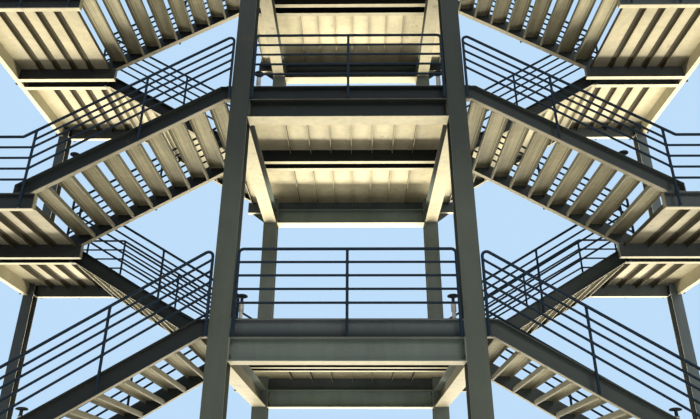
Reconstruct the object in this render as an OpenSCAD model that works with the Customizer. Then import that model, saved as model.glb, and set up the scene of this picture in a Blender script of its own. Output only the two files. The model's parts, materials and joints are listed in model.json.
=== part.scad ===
// Fire escape stair tower: a mirrored pair of dog-leg steel stairs that share
// one central bay of landings between four H columns.
// X runs across the front, Y from the front to the rear, Z up from the ground.
// The origin is on the ground at the centre of the plan. Millimetres.

/* [Storeys] */
// Height from one main landing to the next
storey_h = 3600; // [3000:20:4200]
// Risers in one flight, two flights to a storey
risers = 10; // [8:1:12]
// Depth of one step, riser to riser
going = 300; // [260:5:340]

/* [Plan] */
// Width of one flight over its two stringers
flight_w = 1990; // [1400:10:2400]
// Gap between the front flights and the rear flights
flight_gap = 162; // [140:2:300]
// Distance of the main columns from the centre line
col_x = 1625; // [1300:5:2200]
// Length of the mid landings from the front flights' last riser outwards
mid_len = 1820; // [1300:10:2600]
// Distance of a flight's top riser beyond the upper ends of its stringers
riser_out = 80; // [40:5:120]
// Distance by which the rear flights stand further out than the front ones
rear_shift = 100; // [60:5:160]

/* [Main columns] */
// Width of the columns' flanges
col_b = 270; // [200:5:340]
// Depth of the columns, front to rear
col_d = 270; // [200:5:340]
// Flange thickness of the columns
col_tf = 15; // [8:1:25]
// Web thickness of the columns
col_tw = 10; // [6:1:16]
// Side of the square base plates
base_side = 460; // [420:10:560]
// Thickness of the base plates
base_t = 25; // [15:1:40]
// Spacing of the anchor bolts, both ways
bolt_pitch = 370; // [320:5:480]
// Diameter of the anchor bolt holes
bolt_d = 28; // [18:1:34]

/* [Outer columns] */
// Width and depth of the outer columns
out_b = 200; // [160:5:240]
// Flange thickness of the outer columns
out_tf = 12; // [8:1:18]
// Web thickness of the outer columns
out_tw = 8; // [6:1:14]
// Side of the outer columns' square base plates
out_side = 380; // [340:10:440]
// Spacing of the outer columns' anchor bolts, both ways
out_pitch = 290; // [260:5:340]

/* [Beams] */
// Height of the beams under the main landings
beam_h = 300; // [240:5:400]
// Width of the beams' flanges
beam_b = 240; // [180:5:250]
// Flange thickness of the beams
beam_tf = 16; // [8:1:25]
// Web thickness of the beams
beam_tw = 10; // [6:1:16]

/* [Channels] */
// Height of the channels that edge the landings and carry the flights
chan_h = 230; // [180:5:300]
// Width of the channels' flanges
chan_b = 90; // [60:2:110]
// Flange thickness of the channels
chan_tf = 12; // [6:1:18]
// Web thickness of the channels
chan_tw = 8; // [5:1:14]
// Height of a stringer's top edge above the line of the nosings
string_rise = 40; // [20:2:100]
// Length of a stringer's foot past the last riser
seat_len = 150; // [100:5:200]
// Length by which landing channels run on past the decks they carry
run_on = 85; // [40:5:120]
// Length by which the mid landings' front channels run on past their decks
front_on = 170; // [100:5:200]
// Height of the brackets under the main landings' rear ends
bracket_h = 200; // [120:5:240]

/* [Treads] */
// Depth of a tread plate
tread_d = 288; // [240:2:290]
// Thickness of the folded tread plate
tread_t = 6; // [4:1:10]
// Height of the folded nosing
nose_h = 52; // [30:2:70]
// Height of the folded back edge
back_h = 78; // [40:2:110]
// Length of the return under the back edge
back_turn = 26; // [12:2:40]

/* [Decks] */
// Thickness of the deck plates
deck_t = 8; // [5:1:14]
// Leg of the angle ribs under the decks
rib_leg = 75; // [50:5:90]
// Thickness of the angle ribs
rib_t = 6; // [4:1:8]
// Ribs under a main landing
main_ribs = 7; // [5:1:9]
// Spacing of the ribs under a main landing
rib_pitch = 360; // [200:5:360]
// Ribs under a mid landing
mid_ribs = 4; // [3:1:5]
// Spacing of the ribs under a mid landing
mid_rib_pitch = 315; // [200:5:360]
// Height of the cross bars under the decks where they meet the flights
lip_h = 60; // [40:5:90]
// Distance of a cross bar behind the top riser of a flight
lip_back = 100; // [90:5:140]
// Length by which the main landings run on under a rear flight's lowest tread
foot_on = 100; // [40:5:120]

/* [Railings] */
// Height of the top rail's centre above the main landings
rail_h = 940; // [900:5:1100]
// Height of the top rail above the front and the ends of the mid landings
mid_rail_h = 900; // [880:5:1100]
// Height of a front flight's top rail above the nosings at its head
front_rail_h = 912; // [880:2:1000]
// Height that a front flight's top rail has lost to the nosings at its foot
rail_fall = 78; // [0:2:100]
// Height of the rear flights' inner top rail above the nosings
rear_rail_h = 876; // [860:2:1000]
// Height of the outer top rail above the rear flights and mid landings
far_rail_h = 985; // [900:5:1100]
// Diameter of the top rail and its posts
top_d = 42; // [34:1:50]
// Diameter of the posts between the ends of a railing
post_d = 38; // [34:1:46]
// Diameter of the lower rails
rail_d = 34; // [20:1:36]
// Lower rails under the top rail
low_rails = 4; // [2:1:5]
// Height of the lowest rail above the landings
low_rail_h = 198; // [150:2:240]
// Height between the rails on the flights
slope_step = 156; // [130:1:170]
// Radius of the bends in the top rail, on the centre line
bend_r = 60; // [45:5:90]
// Clearance between the posts and the channels they are fixed to
post_off = 4; // [2:1:10]
// Distance of the landings' end posts from the columns' faces
post_in = 50; // [35:5:120]
// Distance of the flights' head posts from the ends of the stringers
head_in = 25; // [22:1:50]
// Distance of the next post on the outer side from the head post
outer_bay = 1260; // [1000:10:1500]
// Distance of the next post on the gap side from the head post
inner_bay = 1555; // [1200:10:1600]
// Distance of a front flight's foot post past the last riser
foot_post = 10; // [0:5:60]
// Distance of the front inner railing's head post past the top riser
inner_head = 180; // [120:5:240]
// Distance of the front inner railing's foot post past the stringer's foot
inner_foot = 95; // [40:5:120]
// Distance of the rear inner railing's foot post before the stringer's foot
near_foot = 25; // [22:1:60]
// Distance of the bend in the rear outer railing's lower rails past the top riser
far_bend = 20; // [0:5:60]

/* [Step lights] */
// Height of a step light above the deck
light_h = 370; // [300:10:600]
// Diameter of a step light's cap
light_cap_d = 150; // [100:5:200]
// Diameter of a step light's stem
light_stem_d = 50; // [30:2:60]

/* [Hidden] */
$fn = 16;

storeys = 3;
fit = 0.3;
sleeve_h = 12;
sleeve_d = 4;
steel = [0.27, 0.29, 0.25];
pale_steel = [0.72, 0.68, 0.54];
rail_paint = [0.17, 0.20, 0.25];

riser_h = storey_h / 2 / risers;
slope = riser_h / going;
pitch = atan(slope);
run = (risers - 1) * going;
plumb_h = chan_h / cos(pitch);

x_face = col_x + col_b / 2;
x_top = x_face + riser_out;
x_mid = x_top + run;
x_rear = x_mid + rear_shift;
x_foot = x_rear - run + foot_on;
x_out = x_mid + mid_len;
x_out_in = x_out - out_b;
y_out = flight_w + flight_gap / 2;
y_in = flight_gap / 2;
y_col = y_out - col_d / 2;
y_col_in = y_out - col_d;
y_end = y_out - out_b;
y_rail = y_out + post_off + top_d / 2;
y_rail_in = y_in - post_off - top_d / 2;
pad_w = top_d * 0.7;
seat_drop = deck_t + chan_h;
kink_over = (string_rise + deck_t) / slope;
kink_under = (string_rise + seat_drop - plumb_h) / slope;

// Level of the floor of main landing k, and of mid landing k half a storey below
function main_z(k) = k * storey_h;
function mid_z(k) = (k - 0.5) * storey_h;

// Height of the nosing line above the upper landing, u out from the top riser
function nosing(u) = -slope * u;
function string_top(u) = nosing(u) + string_rise;

// Lines of the flights' top rails: height at the top riser, and fall for each
// unit of distance out from it
front_line = [front_rail_h, slope + rail_fall / run];
near_line = [rear_rail_h, slope];
far_line = [far_rail_h, slope];
function rail_z(line, u) = line[0] - line[1] * u;

// Plane vectors
function unit(v) = v / norm(v);
function left_of(v) = [-v[1], v[0]];
function cross2(a, b) = a[0] * b[1] - a[1] * b[0];

// Outline p, given anticlockwise, moved in by t on every edge
function inset(p, t) = [
    for (i = [0 : len(p) - 1])
        let (
            a = unit(p[i] - p[(i + len(p) - 1) % len(p)]),
            b = unit(p[(i + 1) % len(p)] - p[i]),
            n = left_of(a) + left_of(b)
        )
        p[i] + n * t / (1 + a * b)
];

// Children on the right-hand side and mirrored on the left
module both_sides() {
    children();
    mirror([1, 0, 0]) children();
}

// Children at the front (y_sign -1) or at the rear (y_sign 1)
module on_side(y_sign) {
    if (y_sign < 0)
        children();
    else
        mirror([0, 1, 0]) children();
}

// An outline in X and Z, thickened to the rear from y
module wall_xz(y, t) {
    translate([0, y + t, 0])
        rotate([90, 0, 0])
            linear_extrude(t) children();
}

// Channel with closed ends and any outline: its toes at y_toe point away from
// the web, and dir is the way from the toes to the web
module channel(outline, y_toe, dir) {
    y0 = dir > 0 ? y_toe : y_toe - chan_b;
    y_web = dir > 0 ? y_toe + chan_b - chan_tw : y_toe - chan_b;
    wall_xz(y0, chan_b)
        difference() {
            polygon(outline);
            polygon(inset(outline, chan_tf));
        }
    wall_xz(y_web, chan_tw) polygon(outline);
}

// Straight length of channel from x0 to x1 with its top at z
module level_channel(x0, x1, z, y_toe, dir) {
    channel([[x0, z - chan_h], [x1, z - chan_h], [x1, z], [x0, z]], y_toe, dir);
}

// I section, height along Y, lying in the XY plane about its centre
module i_section(h, b, tf, tw) {
    translate([-b / 2, -h / 2]) square([b, tf]);
    translate([-b / 2, h / 2 - tf]) square([b, tf]);
    translate([-tw / 2, -h / 2]) square([tw, h]);
}

// Square base plate with its four anchor holes
module base_plate(side, spacing) {
    difference() {
        translate([-side / 2, -side / 2, 0]) cube([side, side, base_t]);
        for (sx = [-1, 1], sy = [-1, 1])
            translate([sx * spacing / 2, sy * spacing / 2, -1])
                cylinder(d = bolt_d, h = base_t + 2);
    }
}

// Column of depth d and width b on its base plate, its flanges facing front and
// rear, with stiffeners at the tops and depth of the steel that meets it
module column(height, d, b, tf, tw, tops, depth) {
    translate([0, 0, base_t]) linear_extrude(height - base_t) i_section(d, b, tf, tw);
    for (z = tops, dz = [0, depth - beam_tf])
        translate([-b / 2, -d / 2 + tf / 2, z - dz - beam_tf]) cube([b, d - tf, beam_tf]);
    translate([-b / 2, -d / 2, height - beam_tf]) cube([b, d, beam_tf]);
}

module main_columns(y) {
    tops = [for (k = [1 : storeys]) main_z(k) - seat_drop];
    color(steel) both_sides() translate([col_x, y, 0]) {
        base_plate(base_side, bolt_pitch);
        column(main_z(storeys), col_d, col_b, col_tf, col_tw, tops, beam_h);
    }
}

module outer_columns(y) {
    tops = [for (k = [1 : storeys]) mid_z(k) - deck_t];
    color(steel) both_sides() translate([x_out - out_b / 2, y, 0]) {
        base_plate(out_side, out_pitch);
        column(mid_z(storeys), out_b, out_b, out_tf, out_tw, tops, chan_h);
    }
}

module column_front() {
    main_columns(-y_col);
}

module column_rear() {
    main_columns(y_col);
}

module column_outer_front() {
    outer_columns(-y_out + out_b / 2);
}

module column_outer_rear() {
    outer_columns(y_out - out_b / 2);
}

// Beams of a main landing: one across the front, one across the rear and one
// on each side, all below the channels
module landing_beams(k) {
    z = main_z(k) - seat_drop - beam_h / 2;
    across = 2 * (col_x - col_b / 2);
    color(steel) {
        for (s = [-1, 1])
            translate([0, s * y_col, z]) {
                rotate([90, 0, 90])
                    translate([0, 0, -across / 2])
                        linear_extrude(across) i_section(beam_h, beam_b, beam_tf, beam_tw);
                for (e = [-1, 1])
                    translate([e * (across / 2 - beam_tf / 2), 0, 0])
                        cube([beam_tf, col_d, beam_h], center = true);
            }
        both_sides()
            translate([col_x, y_col_in, z])
                rotate([90, 0, 0])
                    linear_extrude(2 * y_col_in) i_section(beam_h, beam_b, beam_tf, beam_tw);
    }
}

// Channels of a main landing: a front one, a rear one and two along the middle.
// The rear ones run on past the columns, where brackets carry the outer one.
module landing_channels(k) {
    z = main_z(k) - deck_t;
    x_in = col_x - col_b / 2;
    x_far = x_foot + run_on;
    color(steel) {
        level_channel(-x_in, x_in, z, -y_out, 1);
        level_channel(-x_in, x_in, z, y_out, -1);
        level_channel(-x_face, x_face, z, -y_in, -1);
        level_channel(-x_far, x_far, z, y_in, 1);
        both_sides() {
            level_channel(x_face, x_far, z, y_out, -1);
            translate([x_face, 0, z - chan_h])
                wall_xz(y_out - col_tf, col_tf)
                    polygon([[0, 0], [0, -bracket_h], [beam_tf, -bracket_h], [x_foot - x_face, 0]]);
        }
    }
}

// Angle rib under a deck at z, from the middle channels to the outer one. Its
// flat leg lies against the deck, and its other leg hangs down at x.
module rib(x, z) {
    y1 = y_out - chan_b;
    w = flight_w - 2 * chan_b;
    translate([x - rib_t, -y1, z - rib_leg]) cube([rib_t, w, rib_leg]);
    translate([x - rib_leg, -y1, z - rib_t]) cube([rib_leg, w, rib_t]);
}

// Row of n ribs with their hanging legs spaced about x
module ribs(n, spacing, x, z) {
    for (i = [0 : n - 1])
        rib(x + (i - (n - 1) / 2) * spacing, z);
}

// Cross bar under a deck at z, its outer face at x, from y0 to y1
module cross_bar(x, y0, y1, z) {
    translate([x - deck_t, y0, z - lip_h]) cube([deck_t, y1 - y0, lip_h]);
}

// Plate of a main landing, notched round the columns, with ribs and cross bars.
// Its rear half runs on under the rear flights.
module landing_deck(k) {
    z = main_z(k) - deck_t;
    y0 = y_in + chan_b;
    y1 = y_out - chan_b;
    color(pale_steel) {
        difference() {
            union() {
                translate([-x_top, -y_out, z]) cube([2 * x_top, y_out, deck_t]);
                translate([-x_foot, 0, z]) cube([2 * x_foot, y_out, deck_t]);
            }
            for (sx = [-1, 1], sy = [-1, 1])
                translate([sx * col_x, sy * y_col, z + deck_t / 2])
                    cube([col_b, col_d, 2 * deck_t], center = true);
        }
        for (s = [-1, 1])
            on_side(s) ribs(main_ribs, rib_pitch, rib_leg / 2, z);
        both_sides() {
            cross_bar(x_top - lip_back, -y_col_in, -y0, z);
            cross_bar(x_foot, y0, y1, z);
        }
    }
}

// Round bar of diameter d from point p to point q in X and Z
module bar(p, q, d) {
    v = q - p;
    translate([p[0], 0, p[1]])
        rotate([0, 90 - atan2(v[1], v[0]), 0])
            cylinder(d = d, h = norm(v));
}

// Weld that rounds the corners between bars of diameters da and db at p
module weld(p, da, db) {
    ball(p, norm([da, db]) + 1);
}

module ball(p, d) {
    translate([p[0], 0, p[1]]) sphere(d = d);
}

// Top rail along points p in X and Z, bent at each corner, with its ends as
// posts. A sleeve covers the joint at each end of a bend.
module top_rail(p) {
    n = len(p) - 1;
    legs = [for (i = [0 : n - 1]) unit(p[i + 1] - p[i])];
    turns = [for (i = [1 : n - 1]) acos(legs[i - 1] * legs[i])];
    cuts = concat([0], [for (a = turns) bend_r * tan(a / 2)], [0]);
    for (i = [0 : n - 1]) {
        from = p[i] + legs[i] * (cuts[i] + (i > 0 ? sleeve_h / 2 : 0));
        to = p[i + 1] - legs[i] * (cuts[i + 1] + (i < n - 1 ? sleeve_h / 2 : 0));
        bar(from, to, top_d);
        if (i > 0)
            bar(from - legs[i] * (sleeve_h - 1), from + legs[i], top_d + sleeve_d);
        if (i < n - 1)
            bar(to - legs[i], to + legs[i] * (sleeve_h - 1), top_d + sleeve_d);
    }
    for (i = [1 : n - 1]) {
        side = cross2(legs[i - 1], legs[i]) > 0 ? 1 : -1;
        out = -side * left_of(legs[i - 1]);
        centre = p[i] - legs[i - 1] * cuts[i] - bend_r * out;
        translate([centre[0], 0, centre[1]])
            rotate([90, 0, 0])
                rotate([0, 0, atan2(out[1], out[0]) - (side > 0 ? 0 : turns[i - 1])])
                    rotate_extrude(angle = turns[i - 1])
                        translate([bend_r, 0]) circle(d = top_d);
    }
}

// Pads at heights zs that join a post at x to the channel behind it
module pads(x, zs) {
    for (z = zs)
        translate([x - pad_w / 2, 0, z - top_d / 2])
            cube([pad_w, top_d / 2 + post_off, top_d]);
}

// Straight post between the ends of a railing
module mid_post(x, z0, z1, zs) {
    bar([x, z0], [x, z1], post_d);
    pads(x, zs);
}

// Heights of the pads on a channel whose edges at the post are at top and under
function pad_heights(top, under) = [top - top_d / 2 - 3, under + top_d / 2 + 3];

// Level of lower rail i of a landing whose floor is at z and top rail at top
function level_of(i, z, top) = top - i * (top - z - low_rail_h) / low_rails;

// Level rails between a floor at z and a top rail at top, from the end post at
// x0 to the one at x1, welded to the posts at xs between them
module level_rails(x0, x1, z, top, xs) {
    for (i = [1 : low_rails]) {
        h = level_of(i, z, top);
        bar([x0, h], [x1, h], rail_d);
        for (x = [x0, x1])
            weld([x, h], top_d, rail_d);
        for (x = xs)
            weld([x, h], post_d, rail_d);
    }
}

// Straight railing of height h from x0 to x1 on a floor at z, its ends bent down
// as posts
module level_railing(x0, x1, z, h, channel_top, channel_under) {
    top = z + h;
    mid = (x0 + x1) / 2;
    zs = pad_heights(channel_top, channel_under);
    top_rail([[x0, channel_under], [x0, top], [x1, top], [x1, channel_under]]);
    level_rails(x0, x1, z, top, [mid]);
    mid_post(mid, channel_under, top, zs);
    weld([mid, top], top_d, post_d);
    for (x = [x0, x1])
        pads(x, zs);
}

// The front and rear railings of a main landing, and at the top the railings
// on the ends of its rear half, fixed to the deck's cross bar
module landing_rails(k) {
    z = main_z(k);
    x_end = col_x - col_b / 2 - post_in;
    color(rail_paint) {
        for (s = [-1, 1])
            on_side(s) translate([0, -y_rail, 0])
                level_railing(-x_end, x_end, z, rail_h, z - deck_t, z - seat_drop);
        if (k == storeys)
            both_sides()
                translate([x_foot + post_off + top_d / 2, 0, 0])
                    rotate([0, 0, 90])
                        level_railing(y_in + chan_b + post_in, y_out - chan_b - post_in,
                                      z, rail_h, z - deck_t, z - deck_t - lip_h);
    }
}

// Frame of the mid landings: front, rear and two middle channels, and a channel
// along the outer side between the outer columns
module mid_frame(k) {
    z = mid_z(k) - deck_t;
    x_butt = x_rear + riser_out;
    x_side = x_out - chan_b - fit;
    color(steel) both_sides() {
        level_channel(x_mid - front_on, x_out_in, z, -y_out, 1);
        level_channel(x_mid - run_on, x_side, z, -y_in, -1);
        level_channel(x_butt, x_side, z, y_in, 1);
        level_channel(x_butt, x_out_in, z, y_out, -1);
        rotate([0, 0, 90])
            level_channel(-y_end, y_end, z, -x_out, 1);
    }
}

module mid_deck(k) {
    z = mid_z(k) - deck_t;
    y0 = y_in + chan_b;
    y1 = y_out - chan_b;
    color(pale_steel) both_sides() {
        difference() {
            union() {
                translate([x_mid, -y_out, z]) cube([x_out - x_mid, y_out, deck_t]);
                translate([x_rear, 0, z]) cube([x_out - x_rear, y_out, deck_t]);
            }
            for (s = [-1, 1])
                translate([x_out - out_b / 2, s * (y_end + out_b / 2), z + deck_t / 2])
                    cube([out_b, out_b, 2 * deck_t], center = true);
        }
        for (s = [-1, 1])
            on_side(s) ribs(mid_ribs, mid_rib_pitch, (x_mid + x_out - chan_b) / 2, z);
        cross_bar(x_mid + deck_t, -y1, -y0, z);
        cross_bar(x_rear + lip_back + deck_t, y0, y1, z);
    }
}

module mid_side_rails(k) {
    z = mid_z(k);
    color(rail_paint) both_sides()
        translate([x_out + post_off + top_d / 2, 0, 0])
            rotate([0, 0, 90])
                level_railing(-y_end + post_in, y_end - post_in, z, mid_rail_h,
                              z - deck_t, z - seat_drop);
}

// Outline of a stringer, u out from the top riser and z from the upper floor.
// It leaves the upper landing level, and its foot on the lower floor ends at
// u_end.
function stringer_outline(u_end) =
    let (
        drop = storey_h / 2,
        u_seat = (drop + string_rise - plumb_h) / slope
    )
    [
        [-riser_out, -deck_t], [-riser_out, -seat_drop], [kink_under, -seat_drop],
        [u_seat, -drop], [u_end, -drop],
        [u_end, string_top(u_end)], [kink_over, -deck_t]
    ];

// Children on the plane of the front flights: u out from the top riser
module place_front(k) {
    translate([x_top, 0, main_z(k)]) children();
}

// Children on the plane of the rear flights, which run back to the centre
module place_rear(k) {
    translate([x_rear, 0, mid_z(k)]) mirror([1, 0, 0]) children();
}

module front_stringers(k) {
    outline = stringer_outline(run + seat_len);
    color(steel) both_sides() place_front(k) {
        channel(outline, -y_out, 1);
        channel(outline, -y_in, -1);
    }
}

// The outer one of a rear flight's stringers ends clear of the column's base
module rear_stringers(k) {
    clear = x_rear - col_x - base_side / 2 - fit;
    color(steel) both_sides() place_rear(k) {
        channel(stringer_outline(run + seat_len), y_in, 1);
        channel(stringer_outline(min(run + seat_len, clear)), y_out, -1);
    }
}

// Folded tread pan, its nosing at u = 0 pointing down the flight and its top at
// z = 0, reaching from y0 to y1
module tread(y0, y1) {
    wall_xz(y0, y1 - y0) {
        translate([-tread_d, -tread_t]) square([tread_d, tread_t]);
        translate([-tread_t, -nose_h]) square([tread_t, nose_h]);
        translate([-tread_d, -back_h]) square([tread_t, back_h]);
        translate([-tread_d, -back_h]) square([back_turn, tread_t]);
    }
}

module treads(y0, y1) {
    for (i = [1 : risers - 1])
        translate([i * going, 0, -i * riser_h]) tread(y0, y1);
}

module front_treads(k) {
    color(pale_steel) both_sides() place_front(k)
        treads(-y_out + chan_b, -y_in - chan_b);
}

module rear_treads(k) {
    color(pale_steel) both_sides() place_rear(k)
        treads(y_in + chan_b, y_out - chan_b);
}

// Top and bottom edges of a stringer at u, measured from the upper floor
function edge_top(u) = min(string_top(u), -deck_t);
function edge_under(u) = max(-storey_h / 2, u < kink_under ? -seat_drop : string_top(u) - plumb_h);

module flight_post(line, u) {
    mid_post(u, edge_under(u), rail_z(line, u), pad_heights(edge_top(u), edge_under(u)));
}

// Railing on the gap side of a flight, with end posts at u0 and u1, the lower
// one on the floor, and one at u_mid
module inner_railing(line, u0, u_mid, u1) {
    top_rail([[u0, edge_under(u0)], [u0, rail_z(line, u0)], [u1, rail_z(line, u1)],
              [u1, -storey_h / 2]]);
    for (i = [1 : low_rails])
        bar([u0, rail_z(line, u0) - i * slope_step], [u1, rail_z(line, u1) - i * slope_step], rail_d);
    flight_post(line, u_mid);
    pads(u0, pad_heights(edge_top(u0), edge_under(u0)));
    if (u1 < run + seat_len)
        pads(u1, pad_heights(edge_top(u1), edge_under(u1)));
}

// Lower rails that follow a flight from the end post at u0 to the post at
// u_bend, and go on level from there to the end post at u_end. Sloping rail
// i + skip meets level rail i of the landing with its floor at z.
module bent_rails(line, u0, u_bend, u_end, z, top, xs, skip) {
    for (i = [1 : low_rails - skip]) {
        level = level_of(i, z, top);
        start = [u0, rail_z(line, u0) - (i + skip) * slope_step];
        bar(start, [u_bend, level], rail_d);
        bar([u_bend, level], [u_end, level], rail_d);
        weld(start, top_d, rail_d);
        weld([u_bend, level], post_d, rail_d);
        weld([u_end, level], top_d, rail_d);
        for (x = xs)
            weld([x, level], post_d, rail_d);
    }
}

// Outer railing of a front flight, which goes on level along the mid landing.
// Its first lower rail ends at the foot post, and the landing's lowest rail
// starts there.
module front_outer_railing() {
    z = -storey_h / 2;
    u0 = -riser_out + head_in;
    u1 = run + foot_post;
    u_end = x_out_in - post_in - x_top;
    u_mid = (u1 + u_end) / 2;
    top = z + mid_rail_h;
    foot = z - seat_drop;
    lowest = z + low_rail_h;
    zs = pad_heights(foot + chan_h, foot);
    top_rail([[u0, -seat_drop], [u0, rail_z(front_line, u0)],
              [(front_line[0] - top) / front_line[1], top], [u_end, top], [u_end, foot]]);
    bar([u0, rail_z(front_line, u0) - slope_step], [u1, rail_z(front_line, u1) - slope_step], rail_d);
    bent_rails(front_line, u0, u1, u_end, z, top, [u_mid], 1);
    bar([u1, lowest], [u_end, lowest], rail_d);
    weld([u1, lowest], post_d, rail_d);
    weld([u_mid, lowest], post_d, rail_d);
    weld([u_end, lowest], top_d, rail_d);
    flight_post(front_line, u0 + outer_bay);
    mid_post(u1, foot, rail_z(front_line, u1), zs);
    mid_post(u_mid, foot, top, zs);
    weld([u_mid, top], top_d, post_d);
    pads(u0, pad_heights(-deck_t, -seat_drop));
    pads(u_end, zs);
}

// Outer railing of a rear flight, which starts level along the mid landing and
// ends with a post at the rear column, down to z_end on the channel or the base
module rear_outer_railing(z_end) {
    u_end = x_rear - x_out_in + post_in;
    u0 = far_bend;
    u1 = x_rear - x_face - head_in;
    u_mid = (u_end + u0) / 2;
    zs = pad_heights(-deck_t, -seat_drop);
    top_rail([[u_end, -seat_drop], [u_end, far_rail_h], [0, far_rail_h], [u1, rail_z(far_line, u1)],
              [u1, z_end]]);
    bent_rails(far_line, u1, u0, u_end, 0, far_rail_h, [u_mid], 0);
    for (u = [u0, u_mid])
        mid_post(u, -seat_drop, min(far_rail_h, rail_z(far_line, u)), zs);
    weld([u_mid, far_rail_h], top_d, post_d);
    flight_post(far_line, outer_bay + head_in - riser_out);
    pads(u_end, zs);
    if (z_end < -storey_h / 2)
        pads(u1, pad_heights(z_end + chan_h, z_end));
}

module front_rails(k) {
    u_mid = inner_bay + head_in - riser_out;
    color(rail_paint) both_sides() place_front(k) {
        translate([0, -y_rail, 0]) front_outer_railing();
        translate([0, -y_rail_in, 0]) mirror([0, 1, 0])
            inner_railing(front_line, inner_head, u_mid, run + seat_len + inner_foot);
    }
}

module rear_rails(k) {
    z_end = -storey_h / 2 + (k == 1 ? base_t : -seat_drop);
    u0 = head_in - riser_out;
    color(rail_paint) both_sides() place_rear(k) {
        translate([0, y_rail_in, 0])
            inner_railing(near_line, u0, u0 + inner_bay, run + seat_len - near_foot);
        translate([0, y_rail, 0]) mirror([0, 1, 0]) rear_outer_railing(z_end);
    }
}

// Step light: a stem with a lens and a mushroom cap, standing at the origin
module step_light() {
    cap_h = light_cap_d / 4;
    cylinder(d = light_stem_d, h = light_h - cap_h);
    translate([0, 0, light_h - cap_h])
        cylinder(d1 = light_cap_d, d2 = light_cap_d * 0.55, h = cap_h, $fn = 32);
}

// Lights on the main landings beside the front columns, and on the tread before
// the last of each front flight
module step_lights() {
    y = -y_out + chan_b + light_cap_d / 2;
    low = risers - 2;
    u = low * going - tread_d + light_stem_d;
    color("gainsboro") both_sides()
        for (k = [1 : storeys]) {
            translate([col_x - col_b / 2 - 2 * post_in, y, main_z(k)]) step_light();
            place_front(k) translate([u, y, -low * riser_h]) step_light();
        }
}

column_front();
column_rear();
column_outer_front();
column_outer_rear();
landing_beams(1);  // landing_1_beams
landing_channels(1);  // landing_1_channels
landing_deck(1);  // landing_1_deck
landing_rails(1);  // landing_1_rails
landing_beams(2);  // landing_2_beams
landing_channels(2);  // landing_2_channels
landing_deck(2);  // landing_2_deck
landing_rails(2);  // landing_2_rails
landing_beams(3);  // landing_3_beams
landing_channels(3);  // landing_3_channels
landing_deck(3);  // landing_3_deck
landing_rails(3);  // landing_3_rails
mid_frame(1);  // mid_landing_1_frame
mid_deck(1);  // mid_landing_1_deck
mid_side_rails(1);  // mid_landing_1_side_rails
mid_frame(2);  // mid_landing_2_frame
mid_deck(2);  // mid_landing_2_deck
mid_side_rails(2);  // mid_landing_2_side_rails
mid_frame(3);  // mid_landing_3_frame
mid_deck(3);  // mid_landing_3_deck
mid_side_rails(3);  // mid_landing_3_side_rails
front_stringers(1);  // front_flight_1_stringers
front_treads(1);  // front_flight_1_treads
front_rails(1);  // front_flight_1_rails
front_stringers(2);  // front_flight_2_stringers
front_treads(2);  // front_flight_2_treads
front_rails(2);  // front_flight_2_rails
front_stringers(3);  // front_flight_3_stringers
front_treads(3);  // front_flight_3_treads
front_rails(3);  // front_flight_3_rails
rear_stringers(1);  // rear_flight_1_stringers
rear_treads(1);  // rear_flight_1_treads
rear_rails(1);  // rear_flight_1_rails
rear_stringers(2);  // rear_flight_2_stringers
rear_treads(2);  // rear_flight_2_treads
rear_rails(2);  // rear_flight_2_rails
rear_stringers(3);  // rear_flight_3_stringers
rear_treads(3);  // rear_flight_3_treads
rear_rails(3);  // rear_flight_3_rails
step_lights();
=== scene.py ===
"""Looks of the fire escape stair tower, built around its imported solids.

Metres. X runs across the front, Y from the front to the rear, Z up from the ground. A shape is a pair of
arrays, points and triangles. Railings and treads are drawn in an upright plane, as u along it and h up.
"""
import json

import bpy
import numpy as np
from mathutils import Matrix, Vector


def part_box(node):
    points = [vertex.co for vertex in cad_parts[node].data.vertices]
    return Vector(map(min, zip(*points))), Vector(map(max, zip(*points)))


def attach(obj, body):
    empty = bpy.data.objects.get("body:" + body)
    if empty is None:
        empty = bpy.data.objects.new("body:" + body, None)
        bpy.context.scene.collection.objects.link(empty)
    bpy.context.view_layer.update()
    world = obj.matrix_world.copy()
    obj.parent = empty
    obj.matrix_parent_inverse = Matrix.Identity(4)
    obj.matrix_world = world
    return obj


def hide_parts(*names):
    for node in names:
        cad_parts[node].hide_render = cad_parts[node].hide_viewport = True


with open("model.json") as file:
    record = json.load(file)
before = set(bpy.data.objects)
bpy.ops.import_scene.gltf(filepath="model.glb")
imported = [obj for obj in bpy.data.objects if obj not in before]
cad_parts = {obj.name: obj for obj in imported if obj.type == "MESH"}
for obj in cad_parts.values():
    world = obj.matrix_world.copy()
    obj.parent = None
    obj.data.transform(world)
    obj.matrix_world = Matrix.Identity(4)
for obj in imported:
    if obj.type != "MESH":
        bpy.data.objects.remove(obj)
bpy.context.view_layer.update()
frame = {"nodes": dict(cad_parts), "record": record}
SOLIDS = frame["nodes"]

# Sizes of the stairs
STOREY = 3.6
STOREYS = (1, 2, 3)
RISERS = 10  # of one flight, which climbs half a storey
GOING = 0.3
RISE = STOREY / 2 / RISERS
SLOPE = RISE / GOING
RUN = (RISERS - 1) * GOING
SEAT = 0.15  # length of a stringer's foot past the last riser
RISER_OUT = 0.08  # distance of a flight's top riser beyond the upper ends of its stringers
REAR_SHIFT = 0.1  # by which the rear flights stand further out than the front ones

# Sizes of the steelwork
DECK = 0.008  # thickness of the deck plates
RIB_PLATE = 0.006  # thickness of the angle ribs under them
LIP = 0.06  # height of the cross bars under the decks' ends
CHANNEL = 0.23
CHANNEL_FLANGE = 0.09
SEAT_DROP = DECK + CHANNEL  # lower edge of a landing's channels, below its floor
STRING_RISE = 0.04  # height of a stringer's top edge above the line of the nosings
PLUMB = CHANNEL * np.hypot(1, SLOPE)  # height of a sloping stringer, measured plumb
BEAM = 0.3
BEAM_FLANGE = 0.24
END_PLATE = 0.016
COLUMN = 0.27
OUTER_COLUMN = 0.2
BASE_PLATE = 0.025
ANCHOR_PITCH = 0.37
OUTER_ANCHOR_PITCH = 0.29

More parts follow.
